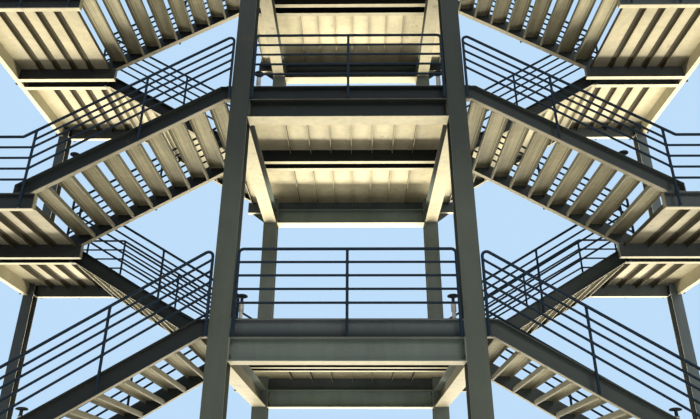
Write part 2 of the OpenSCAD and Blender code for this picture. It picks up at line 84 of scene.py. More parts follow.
# Places of the steelwork, worked out from the solids' boxes
SIDE_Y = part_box("landing_1_channels")[1][1]
GAP_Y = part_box("rear_flight_1_stringers")[0][1]
BAY_INNER_Y = GAP_Y + CHANNEL_FLANGE
BAY_OUTER_Y = SIDE_Y - CHANNEL_FLANGE
OUT_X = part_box("mid_landing_1_frame")[1][0]
OUT_INNER_X = OUT_X - OUTER_COLUMN
DECK_END_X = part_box("landing_1_deck")[1][0]
COLUMN_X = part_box("landing_1_beams")[1][0] - BEAM_FLANGE / 2
FACE_X = COLUMN_X + COLUMN / 2
COLUMN_Y = SIDE_Y - COLUMN / 2
OUTER_COLUMN_X = OUT_X - OUTER_COLUMN / 2
OUTER_COLUMN_Y = SIDE_Y - OUTER_COLUMN / 2
FRONT_TOP_X = FACE_X + RISER_OUT
REAR_TOP_X = FRONT_TOP_X + RUN + REAR_SHIFT

# Railings: pipes and fixings
TOP_R = 0.021
POST_R = 0.019
RAIL_R = 0.017
BEND = 0.06  # radius of a top rail's bends
WELD = 0.004  # by which a weld stands proud of its pipe
SPACER_R = 0.016
POST_GAP = 0.004  # between the posts and the channels they are fixed to
STAND_OFF = POST_GAP + TOP_R
FIXING_IN = TOP_R + 0.003  # bolts, from the channels' edges

# Railings: heights of the rails above a landing, or above a flight at its top riser
LANDING_RAIL = 0.94
MID_RAIL = 0.90
FRONT_RAIL = 0.912
FRONT_FALL = 0.078  # by which a front flight's top rail comes nearer to its treads over the run
NEAR_RAIL = 0.876  # of a rear flight, on the gap side
FAR_RAIL = 0.985  # of a rear flight, on the outer side
LOWEST_RAIL = 0.198
LOWER_RAILS = (1, 2, 3, 4)
RAIL_STEP = 0.156  # from rail to rail on the flights

# Lines of the flights' top rails: height at the top riser, and fall for each unit of u
FRONT_LINE = (FRONT_RAIL, SLOPE + FRONT_FALL / RUN)
NEAR_LINE = (NEAR_RAIL, SLOPE)
FAR_LINE = (FAR_RAIL, SLOPE)

# Railings: places of the posts, those on the flights as u from the top riser
POST_IN = 0.05  # landings' end posts, from the columns' faces or the ends of the edge
HEAD_IN = 0.025  # flights' head posts, from the upper ends of the stringers
OUTER_BAY = 1.26  # next post on the outer side, from the head post
INNER_BAY = 1.555  # next post on the gap side, from the head post
FOOT_OUT = 0.01  # front flights' outer foot posts, past the last riser
INNER_FOOT_OUT = 0.095  # front flights' inner foot posts, past the stringers' feet
NEAR_FOOT_IN = 0.025  # rear flights' inner foot posts, before the stringers' feet
HEAD_POST = HEAD_IN - RISER_OUT
INNER_HEAD_POST = 0.18  # on the front flights' gap side
FAR_BEND_POST = 0.02  # where the lower rails of a rear outer railing bend
OUTER_MIDDLE_POST = HEAD_POST + OUTER_BAY
INNER_MIDDLE_POST = HEAD_POST + INNER_BAY
FRONT_FOOT_POST = RUN + FOOT_OUT
FRONT_INNER_FOOT_POST = RUN + SEAT + INNER_FOOT_OUT
REAR_INNER_FOOT_POST = RUN + SEAT - NEAR_FOOT_IN

# Treads
TREAD = 0.288  # depth
PLATE = 0.006
NOSING = 0.052  # height of the folded nosing
BACK = 0.078  # height of the folded back edge
RETURN = 0.026  # length of the return under the back edge
TREAD_BEND = 0.009
BEAD = 0.005  # radius of a weld bead
BEAD_RIPPLE = 0.0012

# Bolts and step lights
BOLT_HEAD = 0.01
PLATE_BOLT_HEAD = 0.019
PLATE_BOLT_Y = 0.07  # from the middle of a beam's end plate
PLATE_BOLT_Z = 0.085
ANCHOR_NUT = 0.022
ANCHOR_R = 0.012
LIGHT_CAP_R = 0.075
LIGHT_STEM_R = 0.025

UP = np.array((0.0, 0.0, 1.0))
ACROSS = np.array((1.0, 0.0, 0.0))
TO_REAR = np.array((0.0, 1.0, 0.0))


# Shapes

def joined(shapes):
    """One shape out of several."""
    starts = np.cumsum([0] + [len(points) for points, _ in shapes])
    return (np.concatenate([points for points, _ in shapes]),
            np.concatenate([faces + start for (_, faces), start in zip(shapes, starts)]))


def repeated(shape, offsets):
    """The shape once at each offset."""
    points, faces = shape
    offsets = np.asarray(offsets, float)
    starts = np.arange(len(offsets)) * len(points)
    return ((points[None] + offsets[:, None]).reshape(-1, 3),
            (faces[None] + starts[:, None, None]).reshape(-1, 3))


def turned_over(shape, signs):
    """Mirror image of a shape, its faces turned over so that they still look outwards."""
    points, faces = shape
    return points * signs, faces[:, ::-1] if np.prod(signs) < 0 else faces


def both_sides(shape):
    """The shape and its mirror image across X = 0."""
    return joined([shape, turned_over(shape, (-1, 1, 1))])


def unit(v):
    """Each vector divided by its length."""
    return v / np.linalg.norm(v, axis=-1, keepdims=True)


def headings(path):
    """Direction of a path at each of its points, halfway between the legs that meet there."""
    legs = unit(np.diff(path, axis=0))
    return unit(np.vstack([legs[:1], legs[:-1] + legs[1:], legs[-1:]]))


def rings(centres, radii, first, second, sides):
    """Round surface: point j of ring i is centre i + radius i (first cos t + second i sin t), where t goes
    once round with j. A fan closes each end."""
    centres = np.asarray(centres, float)
    radii = np.broadcast_to(radii, len(centres))[:, None, None]
    t = np.arange(sides)[:, None] * 2 * np.pi / sides
    points = centres[:, None] + radii * (first * np.cos(t) + np.reshape(second, (-1, 1, 3)) * np.sin(t))
    i, j = np.indices((len(centres) - 1, sides))
    a, b = i * sides + j, i * sides + (j + 1) % sides
    walls = np.stack([a, b, b + sides, a, b + sides, a + sides], -1).reshape(-1, 3)
    ring = np.arange(sides)
    after = (ring + 1) % sides
    start, end = len(centres) * sides, len(centres) * sides + 1
    last = start - sides
    caps = [np.stack([np.full(sides, start), after, ring], -1),
            np.stack([np.full(sides, end), last + ring, last + after], -1)]
    return np.concatenate([points.reshape(-1, 3), centres[[0, -1]]]), np.concatenate([walls, *caps])


def tube(path, radii, side, sides=12):
    """Round bar along a path that lies square to side. Each ring stands square to the path."""
    path = np.asarray(path, float)
    return rings(path, radii, side, np.cross(headings(path), side), sides)


def turned(profile, at, axis, sides):
    """Body of revolution about axis: the profile's (radius, distance along the axis), carried round it."""
    radii, along = np.asarray(profile, float).T
    first = unit(np.cross(axis, UP if abs(axis[2]) < 0.5 else ACROSS))
    return rings(np.asarray(at) + along[:, None] * axis, radii, first, np.cross(axis, first), sides)


def folded_plate(middle, thickness, y0, y1):
    """Folded plate: the line (u, h) of its middle, moved by half the thickness to each side along its
    normal, and carried from y0 to y1. Points a and b are neighbours round the plate's edge, and c and d lie
    opposite on its two sides."""
    middle = np.asarray(middle, float)
    along = headings(middle)
    normal = np.column_stack([-along[:, 1], along[:, 0]]) * thickness / 2
    loop = np.concatenate([middle + normal, (middle - normal)[::-1]])
    count, half = len(loop), len(middle)
    points = np.concatenate([np.insert(loop, 1, y, axis=1) for y in (y0, y1)])
    a = np.arange(count)
    b = (a + 1) % count
    walls = np.concatenate([np.stack([a, b + count, a + count], -1), np.stack([a, b, b + count], -1)])
    c = np.arange(half - 1)
    d = count - 1 - c
    ends = np.concatenate([np.stack([c, d, c + 1], -1), np.stack([c + 1, d, d - 1], -1)])
    return points, np.concatenate([walls, ends, ends[:, ::-1] + count])


def bent(corners, radius, steps=6):
    """Path (u, h) through the corners, each one rounded by an arc that touches both its legs. The arc has
    as many equal steps as steps says."""
    corners = np.asarray(corners, float)
    parts = [corners[:1]]
    for before, corner, after in zip(corners, corners[1:], corners[2:]):
        back, ahead = unit(before - corner), unit(after - corner)
        half = np.arccos(back @ ahead) / 2
        centre = corner + unit(back + ahead) * radius / np.sin(half)
        start, end = (corner + way * radius / np.tan(half) - centre for way in (back, ahead))
        turn = np.pi - 2 * half
        w = np.linspace(0, 1, steps + 1)[:, None]
        parts.append(centre + (start * np.sin((1 - w) * turn) + end * np.sin(w * turn)) / np.sin(turn))
    return np.concatenate(parts + [corners[-1:]])


def bolt(at, axis, size=BOLT_HEAD):
    """Hexagon head with a washer, size being the head's radius."""
    rim, thick = 1.5 * size, 0.2 * size
    washer = turned([(rim, 0), (rim, thick)], at, axis, sides=8)
    head = turned([(size, thick), (size, 0.75 * size), (0.86 * size, 0.9 * size)], at, axis, sides=6)
    return joined([washer, head])


def corners_of(half_a, half_b):
    """Corners (a, b) of a rectangle about its middle."""
    return [(a, b) for a in (-half_a, half_a) for b in (-half_b, half_b)]


def add_piece(name, shape, material, stands_for=(), sharp=0.7):
    """Object for a shape, riding on the tower. Edges that turn by more than sharp, in radians, stay
    crisp."""
    points, faces = shape
    mesh = bpy.data.meshes.new(name)
    mesh.from_pydata(points.tolist(), [], faces.tolist())
    mesh.shade_smooth()
    mesh.set_sharp_from_angle(angle=sharp)
    mesh.materials.append(material)
    piece = bpy.data.objects.new(name, mesh)
    bpy.context.collection.objects.link(piece)
    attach(piece, "root")
    if stands_for:
        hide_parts(*stands_for)
    return piece


# Shader nodes

def new_group(name, inputs, outputs):
    """Empty shader node group with the named sockets, each input given as (name, default)."""
    tree = bpy.data.node_groups.new(name, "ShaderNodeTree")
    for socket, value in inputs:
        kind = "NodeSocketFloat" if np.isscalar(value) else "NodeSocketColor"
        tree.interface.new_socket(socket, in_out="INPUT", socket_type=kind).default_value = value
    for socket, kind in outputs:
        tree.interface.new_socket(socket, in_out="OUTPUT", socket_type=kind)
    return tree, tree.nodes.new("NodeGroupInput").outputs, tree.nodes.new("NodeGroupOutput").inputs


def node(tree, kind, links=(), **settings):
    """New node with its properties set, and its inputs linked or given values by socket name."""
    made = tree.nodes.new(kind)
    for key, value in settings.items():
        setattr(made, key, value)
    for socket, value in dict(links).items():
        if isinstance(value, bpy.types.NodeSocket):
            tree.links.new(value, made.inputs[socket])
        else:
            made.inputs[socket].default_value = value
    return made


def math(tree, operation, a, b=0.0):
    """Result of one Math node."""
    return node(tree, "ShaderNodeMath", {0: a, 1: b}, operation=operation).outputs[0]


def product(tree, first, *others):
    """All the values multiplied."""
    for value in others:
        first = math(tree, "MULTIPLY", first, value)
    return first


def total(tree, first, *others):
    """All the values added."""
    for value in others:
        first = math(tree, "ADD", first, value)
    return first


def less(tree, a, b):
    """What is left of a without b."""
    return math(tree, "SUBTRACT", a, b)


def ramp(tree, value, low, high):
    """Value mapped from low..high to 0..1 and clamped, with smooth ends."""
    return node(tree, "ShaderNodeMapRange", {"Value": value, "From Min": low, "From Max": high},
                interpolation_type="SMOOTHSTEP").outputs["Result"]


def mix(tree, share, a, b):
    """Colour a where share is 0, colour b where it is 1."""
    return node(tree, "ShaderNodeMix", {0: share, 6: a, 7: b}, data_type="RGBA").outputs[2]


def noise(tree, place, scale, detail=4.0):
    """Soft noise between 0 and 1."""
    made = node(tree, "ShaderNodeTexNoise", {"Vector": place, "Scale": scale, "Detail": detail})
    return made.outputs["Fac"]


def stretched(tree, place, stretch):
    """Place with each axis multiplied by stretch."""
    return node(tree, "ShaderNodeVectorMath", {0: place, 1: stretch}, operation="MULTIPLY").outputs[0]


def place_on_tower(tree):
    """Place of a point in the tower's own frame."""
    return node(tree, "ShaderNodeTexCoord").outputs["Object"]


def axes_of(tree, vector):
    """X, Y and Z of a vector."""
    return node(tree, "ShaderNodeSeparateXYZ", {0: vector}).outputs


def facings_of(tree):
    """X, Y and Z of the way that a face looks."""
    return axes_of(tree, node(tree, "ShaderNodeNewGeometry").outputs["Normal"])


# Painted light, shade and dust: where a face starts to count as looking some way, and where it fully does
DOWNWARD = (-0.45, -0.8)
UPWARD = (0.5, 0.95)
INWARD = (-0.3, -0.7)
FRONTWARD = (0.3, -0.3)

# Painted shade and light, and darkening at lower edges: where each sets in and is in full, and how deep it
# is
FRONT_HALF = (1.0, 0.0)
UPPER_SHADE_HEIGHTS = (4.6, 6.6)
# The crown is painted shade on the third main landing, less on its underside light than on its front
CROWN_HEIGHTS = (9.3, 10.2)
CROWN_BELOW = 0.55  # share of Crown that falls on the pale paint
BAY_SHADE_SHARES = (1.0, 0.1)  # of Reach
FADE_HEIGHT = CHANNEL * 0.8
MARGIN = 0.05  # of a band of heights, above and below the face that it is for
# The pale paint is a painted underside light, weaker beyond the outer edges of the beams
BEAM_EDGE_Y = COLUMN_Y + BEAM_FLANGE / 2
PAST_BEAMS = 0.259  # share of the pale paint that is left beyond that edge

# Weathering: stretch of rain streaks, limits in the noise, colours of painted shade, depth and roughness
RAIN = (9.0, 9.0, 0.7)
DUST_LIMITS = (0.35, 0.6)
RUST_LIMITS = (0.64, 0.74)
BLACK = (0.0, 0.0, 0.0, 1)
SHADE_COLOUR = (0.02, 0.02, 0.015, 1)
CLOUD_DEPTH = 4.0
ROUGHNESS = (0.45, 0.75)
DUST_ROUGHNESS = 0.8


def cloud_noise(tree, place, broad_share=0.5, fine_share=0.2, streak_share=0.3):
    """Broad, fine and streaked noise added up to clouds, and the fine noise by itself."""
    broad = noise(tree, place, scale=1.7, detail=5.0)
    fine = noise(tree, place, scale=38.0)
    streaks = noise(tree, stretched(tree, place, RAIN), scale=1.0, detail=6.0)
    clouds = total(tree, product(tree, broad, broad_share), product(tree, fine, fine_share),
                   product(tree, streaks, streak_share))
    return clouds, fine


def lit_underside_mask(tree, given, axes, facings, level):
    """Share of the painted underside light: 1 on faces that look down and lie between From and To, and less
    beyond the outer edges of the beams."""
    in_band = product(tree, math(tree, "GREATER_THAN", level, given["From"]),
                      math(tree, "LESS_THAN", level, given["To"]))
    within = math(tree, "LESS_THAN", math(tree, "ABSOLUTE", axes["Y"]), BEAM_EDGE_Y)
    return product(tree, ramp(tree, facings["Z"], *DOWNWARD), in_band,
                   math(tree, "MAXIMUM", within, PAST_BEAMS))


def outer_colour(tree, given, axes, facings, level, crown):
    """Outer paint darkened by painted shade, and the inner colour, painted light, on faces toward the
    middle.
    """
    shade_above = product(tree, ramp(tree, axes["Z"], *UPPER_SHADE_HEIGHTS), given["Soot"])
    above = less(tree, less(tree, level, given["From"]), MARGIN)
    fade = product(tree, ramp(tree, above, FADE_HEIGHT, 0.0), given["Fade"])
    front = math(tree, "MAXIMUM", math(tree, "MAXIMUM", shade_above, fade), given["Front"])
    at_front = product(tree, front, ramp(tree, axes["Y"], *FRONT_HALF))
    at_left = product(tree, math(tree, "LESS_THAN", axes["X"], 0.0), given["Left"])
    at_crown = product(tree, ramp(tree, facings["Y"], *FRONTWARD), crown)
    clear = product(tree, *(less(tree, 1.0, shade_part) for shade_part in (at_front, at_left, at_crown)))
    inward = ramp(tree, product(tree, facings["X"], math(tree, "SIGN", axes["X"])), *INWARD)
    return mix(tree, inward, mix(tree, clear, BLACK, given["Outer"]), given["Inward_lit"])


def lit_underside_colour(tree, given, axes, crown):
    """Painted underside light, darkened by painted shade over the last Reach before the rear end of each
    bay, and on the crown. The front bay ends at -BAY_INNER_Y, the rear one at BAY_OUTER_Y."""
    in_rear_bay = math(tree, "GREATER_THAN", axes["Y"], 0.0)
    bay_end = total(tree, product(tree, in_rear_bay, BAY_OUTER_Y + BAY_INNER_Y), -BAY_INNER_Y)
    from_end = math(tree, "DIVIDE", less(tree, bay_end, axes["Y"]), given["Reach"])
    dark_share = product(tree, ramp(tree, from_end, *BAY_SHADE_SHARES), given["Grime"])
    dark_share = math(tree, "MAXIMUM", dark_share, product(tree, crown, CROWN_BELOW))
    return mix(tree, dark_share, given["Lit_underside"], SHADE_COLOUR)


def light_and_wear_group():
    """Colour of weathered paint, with painted light and shade. Faces that look down and lie at a height
    between
    From and To in their storey take the pale colour of a painted underside light; the height is measured
    along the flights where Slope isn't 0. Painted shade darkens that light over the last Reach before the
    rear end of each bay. On the front half, painted shade darkens the outer paint toward the upper storeys,
    Fade darkens it toward its lower edge and Front paints shade on it all over; Left paints shade on the
    left half. Crown paints shade on the third main landing, on its underside light less than on its front.
    Faces that look to the middle of the tower take the inner colour, a painted light. All is clouded by
    noise and streaked by rain, as Clouding says, dusty on top, and spotted with rust, as Rusting says."""
    tree, given, out = new_group(
        "painted_light_and_wear",
        [("Outer", (0.1, 0.1, 0.1, 1)), ("Inward_lit", (0.1, 0.1, 0.1, 1)), ("Lit_underside", (0.5, 0.5, 0.5, 1)),
         ("Dust", (0.3, 0.3, 0.3, 1)), ("Rust", (0.10, 0.045, 0.02, 1)), ("Clouding", 0.3), ("Rusting", 0.3),
         ("Slope", 0.0), ("From", 0.0), ("To", STOREY), ("Grime", 0.0), ("Reach", 0.8), ("Soot", 0.0),
         ("Fade", 0.0), ("Front", 0.0), ("Left", 0.0), ("Crown", 0.0)],
        [("Color", "NodeSocketColor"), ("Roughness", "NodeSocketFloat"), ("Height", "NodeSocketFloat")])
    place = place_on_tower(tree)
    axes, facings = axes_of(tree, place), facings_of(tree)
    along = product(tree, math(tree, "ABSOLUTE", axes["X"]), given["Slope"])
    level = math(tree, "FLOORED_MODULO", total(tree, axes["Z"], along), STOREY)
    crown = product(tree, ramp(tree, axes["Z"], *CROWN_HEIGHTS), given["Crown"])
    clouds, fine = cloud_noise(tree, place)
    dusty = product(tree, ramp(tree, facings["Z"], *UPWARD), ramp(tree, clouds, *DUST_LIMITS))
    spots = ramp(tree, noise(tree, place, scale=6.0, detail=8.0), *RUST_LIMITS)
    colour = mix(tree, lit_underside_mask(tree, given, axes, facings, level),
                 outer_colour(tree, given, axes, facings, level, crown),
                 lit_underside_colour(tree, given, axes, crown))
    colour = mix(tree, dusty, colour, given["Dust"])
    colour = mix(tree, product(tree, spots, given["Rusting"]), colour, given["Rust"])
    shade = total(tree, 1.0, product(tree, less(tree, clouds, 0.5), given["Clouding"], CLOUD_DEPTH))
    shaded = node(tree, "ShaderNodeVectorMath", {0: colour, "Scale": shade}, operation="SCALE")
    smooth, coarse = ROUGHNESS
    rough = node(tree, "ShaderNodeMapRange", {"Value": clouds, "To Min": smooth, "To Max": coarse})
    rougher = math(tree, "MAXIMUM", rough.outputs["Result"], product(tree, dusty, DUST_ROUGHNESS))
    tree.links.new(shaded.outputs[0], out["Color"])
    tree.links.new(rougher, out["Roughness"])
    tree.links.new(fine, out["Height"])
    return tree


def chequer_group(cell=0.034, half_length=0.45, half_width=0.15, flank=(1.0, 0.5), level=(0.85, 0.95)):
    """Height of chequer plate on faces that look up: square cells turned 45 degrees, each with one raised
    lozenge, which is long one way in even cells and the other way in odd ones. In shares of a cell, reach is
    (x / half_length) squared + (y / half_width) squared. The lozenge rises over the flank, from where reach
    is 1 to where it is a half. Level says how far up a face has to look."""
    tree, _, out = new_group("chequer_plate", [], [("Height", "NodeSocketFloat")])
    cells = node(tree, "ShaderNodeVectorRotate", {"Vector": place_on_tower(tree), "Angle": np.pi / 4},
                 rotation_type="Z_AXIS")
    axes = axes_of(tree, stretched(tree, cells.outputs[0], (1 / cell, 1 / cell, 1.0)))
    a, b = (math(tree, "POWER", less(tree, math(tree, "FRACT", axes[way]), 0.5), 2.0) for way in "XY")
    odd = math(tree, "PINGPONG", total(tree, *(math(tree, "FLOOR", axes[way]) for way in "XY")), 1.0)
    even = less(tree, 1.0, odd)
    long = total(tree, product(tree, a, even), product(tree, b, odd))
    short = total(tree, product(tree, b, even), product(tree, a, odd))
    reach = total(tree, math(tree, "DIVIDE", long, half_length ** 2),
                  math(tree, "DIVIDE", short, half_width ** 2))
    upward = ramp(tree, facings_of(tree)["Z"], *level)
    tree.links.new(product(tree, ramp(tree, reach, *flank), upward), out["Height"])
    return tree


LIGHT_AND_WEAR = light_and_wear_group()
CHEQUER = chequer_group()

# Share of painted shade in the folds, at places across a tread pan, 0 being its back edge and 1 its nosing
FOLD_SHADE_DEPTHS = ((0.02, 0.15), (0.04, 0.55), (0.09, 0.55), (0.11, 0.85), (0.17, 0.2), (0.25, 0.0), (0.70, 0.05),
              (0.78, 0.25), (0.81, 0.8), (0.85, 0.0), (0.89, 0.0), (0.92, 0.8), (0.97, 0.5))
FOLD_STREAKS = (45.0, 1.1, 45.0)
FOLD_STREAK_LIMITS = (0.40, 0.75)
FOLD_STREAK_DEPTH = 0.3
FOLD_COLOUR = (0.05, 0.045, 0.025, 1)


def fold_shade(tree, colour):
    """Colour darkened by painted shade in the folds of a tread pan, and by streaks drawn out along the
    tread.
    The attribute "across" is the place across the pan, from the nosing."""
    across = node(tree, "ShaderNodeAttribute", attribute_name="across").outputs["Fac"]
    along = node(tree, "ShaderNodeMapRange", {"Value": across, "From Min": -TREAD, "From Max": 0.0})
    curve = node(tree, "ShaderNodeValToRGB", {0: along.outputs["Result"]})
    for stop, depth in FOLD_SHADE_DEPTHS:
        curve.color_ramp.elements.new(stop).color = (depth, depth, depth, 1)
    curve.color_ramp.elements.remove(curve.color_ramp.elements[0])
    curve.color_ramp.elements.remove(curve.color_ramp.elements[-1])
    drawn_out = stretched(tree, place_on_tower(tree), FOLD_STREAKS)
    streaks = ramp(tree, noise(tree, drawn_out, scale=1.0), *FOLD_STREAK_LIMITS)
    dark_share = math(tree, "MAXIMUM", curve.outputs["Color"], product(tree, streaks, FOLD_STREAK_DEPTH))
    return mix(tree, dark_share, colour, FOLD_COLOUR)


FINE_BUMP = 0.15  # share of a lozenge's height
BUMP_STRENGTH = 0.8
LOZENGE_HEIGHT = 0.002


def paint(name, outer, lit_underside, dust, chequered=False, folded=False, inner=None, shine=0.25, **values):
    """Painted steel: the group of weathering and painted light and shade feeds colour, roughness and a fine
    bump. Chequer plate has its lozenges in the same bump, folded pans the painted shade of their folds.
    Further values go to the group's sockets by name."""
    material = bpy.data.materials.new(name)
    material.use_nodes = True
    tree = material.node_tree
    shader = tree.nodes["Principled BSDF"]
    shader.inputs["Specular IOR Level"].default_value = shine
    group = node(tree, "ShaderNodeGroup", node_tree=LIGHT_AND_WEAR)
    # The inner colour is a painted light, on faces that look to the middle of the tower
    colours = {"Outer": outer, "Inward_lit": inner or outer, "Lit_underside": lit_underside, "Dust": dust}
    for socket, value in colours.items():
        group.inputs[socket].default_value = (*value, 1)
    for socket, value in values.items():
        group.inputs[socket].default_value = value
    height = product(tree, group.outputs["Height"], FINE_BUMP)
    if chequered:
        height = total(tree, height, node(tree, "ShaderNodeGroup", node_tree=CHEQUER).outputs["Height"])
    bump = node(tree, "ShaderNodeBump",
                {"Height": height, "Strength": BUMP_STRENGTH, "Distance": LOZENGE_HEIGHT})
    colour = group.outputs["Color"]
    tree.links.new(fold_shade(tree, colour) if folded else colour, shader.inputs["Base Color"])
    tree.links.new(group.outputs["Roughness"], shader.inputs["Roughness"])
    tree.links.new(bump.outputs["Normal"], shader.inputs["Normal"])
    return material


# Paints: outer colour, painted underside light and dust, then values for weathering and painted shade

OLIVE = (0.042, 0.050, 0.043)
OLIVE_BROWN = (0.20, 0.18, 0.115)
CREAM = (0.80, 0.72, 0.49)
DUST = (0.22, 0.21, 0.18)
STRINGER = (0.050, 0.060, 0.054)
STRINGER_LIT_UNDERSIDE = (0.48, 0.43, 0.30)


def under(drop):
    """Band of heights in a storey around a face that lies drop below the landing."""
    level = (STOREY - drop) % STOREY
    return {"From": level - MARGIN, "To": level + MARGIN}


def under_flight(x_top, z_top, way, below=0.12, above=0.06):
    """Band of heights, from below to above the lower edge of the stringers of a flight that falls by SLOPE
    with X times way, from a landing at z_top."""
    level = (z_top + way * SLOPE * x_top + STRING_RISE - PLUMB) % STOREY
    return {"Slope": way * SLOPE, "From": level - below, "To": level + above}


# Upper storeys, the front half, the left half and the crown are darkened by painted shade, as the values say
column_paint = paint("column_paint", (0.070, 0.081, 0.063), OLIVE, DUST, inner=(0.24, 0.23, 0.17), Soot=0.6)
# Painted light: the rear columns take a lighter copy of the column paint
rear_column_paint = paint("rear_column_paint", (0.140, 0.172, 0.162), OLIVE, DUST, inner=(0.36, 0.34, 0.26))
outer_rear_paint = paint("outer_rear_paint", (0.12, 0.15, 0.16), OLIVE, DUST, inner=(0.50, 0.47, 0.37),
                         Left=0.6)
beam_paint = paint("beam_paint", (0.21, 0.26, 0.23), (0.84, 0.76, 0.52), DUST, inner=OLIVE_BROWN,
                   Soot=0.92, Front=0.36, Crown=0.85, **under(SEAT_DROP + BEAM))
channel_paint = paint("channel_paint", (0.085, 0.105, 0.107), (0.88, 0.80, 0.55), DUST,
                      Soot=0.85, Fade=0.9, Crown=0.85, **under(SEAT_DROP))
mid_frame_paint = paint("mid_frame_paint", (0.14, 0.16, 0.16), CREAM, DUST, inner=(0.30, 0.27, 0.17),
                        Front=0.5, Left=0.65, **under(STOREY / 2 + SEAT_DROP))
front_stringer_paint = paint("front_stringer_paint", STRINGER, STRINGER_LIT_UNDERSIDE, DUST, Soot=0.3, Left=0.7,
                             **under_flight(FRONT_TOP_X, STOREY, 1))
rear_stringer_paint = paint("rear_stringer_paint", STRINGER, STRINGER_LIT_UNDERSIDE, DUST, Soot=0.3, Left=0.7,
                            **under_flight(REAR_TOP_X, STOREY / 2, -1))
# Decks and treads are darkened by painted shade toward the rear end of each bay
landing_deck_paint = paint("landing_deck_paint", (0.09, 0.075, 0.042), (0.86, 0.77, 0.51), DUST,
                           chequered=True, Grime=0.4, Crown=0.6)
# The ribs' legs under the mid landings lie just below this band, and keep the darker outer colour: painted
# shade
mid_deck_paint = paint("mid_deck_paint", (0.07, 0.058, 0.032), (0.62, 0.555, 0.37), DUST, chequered=True,
                       Grime=0.65, From=STOREY / 2 - DECK - RIB_PLATE / 2)
tread_paint = paint("tread_paint", (0.30, 0.28, 0.19), (0.72, 0.655, 0.43), DUST, chequered=True,
                    folded=True, Grime=0.7, Reach=1.2)
railing_paint = paint("railing_paint", (0.009, 0.019, 0.032), (0.012, 0.022, 0.034), (0.035, 0.045, 0.05),
                      shine=0.14)
light_body = paint("light_body", (0.62, 0.61, 0.57), (0.62, 0.61, 0.57), (0.45, 0.44, 0.40), Rusting=0.0)
light_cap = paint("light_cap", (0.02, 0.022, 0.024), (0.03, 0.032, 0.034), (0.06, 0.06, 0.06), Rusting=0.0)
bolt_paint = paint("bolt_paint", (0.06, 0.065, 0.055), (0.10, 0.10, 0.08), (0.14, 0.13, 0.11), Rusting=0.8)

SLOT_PAINT = {"tread_paint": tread_paint, "railing_paint": railing_paint, "light_housing": light_body}
NODE_PAINT = (
    ("column_rear", rear_column_paint), ("outer_rear", outer_rear_paint), ("column", column_paint),
    ("beams", beam_paint), ("channels", channel_paint), ("frame", mid_frame_paint),
    ("front", front_stringer_paint), ("rear", rear_stringer_paint),
    ("mid_landing", mid_deck_paint), ("deck", landing_deck_paint))


def paint_solids():
    """Each solid gets the paint of its slot or, for the frame's steel, the first one whose word is in its
    name."""
    for part in frame["record"]["subparts"]:
        name, slot = part["node"], part["material_slot"]
        by_name = [material for word, material in NODE_PAINT if word in name]
        materials = SOLIDS[name].data.materials
        materials.clear()
        materials.append(SLOT_PAINT[slot] if slot in SLOT_PAINT else by_name[0])


# Railings

def stood(path, origin, run):
    """Plane path (u, h) as points: origin + u run + h up."""
    u, h = np.asarray(path, float).T
    return np.asarray(origin, float) + u[:, None] * run + h[:, None] * UP


def welded_bar(ends, origin, run, flare_from=0.001, flare_to=0.009):
    """Straight lower rail between two posts. The welds at its ends narrow from flare_from to flare_to,
    measured from the posts' sides."""
    start, end = stood(ends, origin, run)
    length = np.linalg.norm(end - start)
    inner, outer = POST_R + flare_from, POST_R + flare_to
    along = np.array((0, inner, outer, length - outer, length - inner, length)) / length
    flare = RAIL_R + WELD
    radii = (flare, flare, RAIL_R, RAIL_R, flare, flare)
    return tube(start + along[:, None] * (end - start), radii, np.cross(run, UP))


def post(u, low, high, origin, run, chamfer=0.004, weld_height=0.010):
    """Post with a chamfered foot, its head welded into the rail above."""
    under_rail = high - TOP_R
    path = [(u, low), (u, low + chamfer), (u, under_rail - weld_height), (u, under_rail), (u, high)]
    radii = (POST_R - chamfer, POST_R, POST_R, POST_R + WELD, POST_R + WELD)
    return tube(stood(path, origin, run), radii, np.cross(run, UP))


def fixings(places, origin, run, inward, sunk=0.001):
    """Spacer between post and channel at each place (u, h), with a bolt through the post, its washer sunk
    a little into the round of the pipe."""
    shapes = []
    for point in stood(places, origin, run):
        shapes.append(turned([(SPACER_R, 0), (SPACER_R, STAND_OFF)], point, inward, sides=8))
        shapes.append(bolt(point - inward * (POST_R - sunk), -inward))
    return joined(shapes)


def railing(origin, run, inward, corners, bars, posts, feet):
    """Bent top rail through the corners, straight lower bars, posts (u, low, high) and fixings at the feet
    (u, h). Run is the way along the railing, and inward the way to the steel that carries it."""
    top_rail = tube(stood(bent(corners, BEND), origin, run), TOP_R, np.cross(run, UP))
    return joined([top_rail] + [welded_bar(bar, origin, run) for bar in bars]
                  + [post(*place, origin, run) for place in posts] + [fixings(feet, origin, run, inward)])


def level_step(height):
    """Spacing of the lower rails under a top rail at this height, down to the lowest one."""
    return (height - LOWEST_RAIL) / len(LOWER_RAILS)


def level_bars(us, top, floor):
    """Lower rails between the posts at us, evenly spaced under a rail at top."""
    step = level_step(top - floor)
    return [((u0, top - i * step), (u1, top - i * step)) for i in LOWER_RAILS for u0, u1 in zip(us, us[1:])]


def sloping_bars(us, line, indices=LOWER_RAILS):
    """Lower rails between the posts at us that follow the flight below its top rail."""
    return [tuple((u, rail_h(line, u) - i * RAIL_STEP) for u in pair)
            for i in indices for pair in zip(us, us[1:])]


def crossing_bars(us, starts, ends):
    """Lower rails from each start height to its end height, straight past the post in the middle of us."""
    near, middle, far = us
    bars = []
    for start, end in zip(starts, ends):
        at_middle = start + (end - start) * (middle - near) / (far - near)
        bars += [((near, start), (middle, at_middle)), ((middle, at_middle), (far, end))]
    return bars


def rail_h(line, u):
    """Height of a flight's top rail at u."""
    return line[0] - line[1] * u


def edge_under(u):
    """Lower edge of a stringer at u, from the upper landing."""
    return np.clip(STRING_RISE - SLOPE * u - PLUMB, -STOREY / 2, -SEAT_DROP)


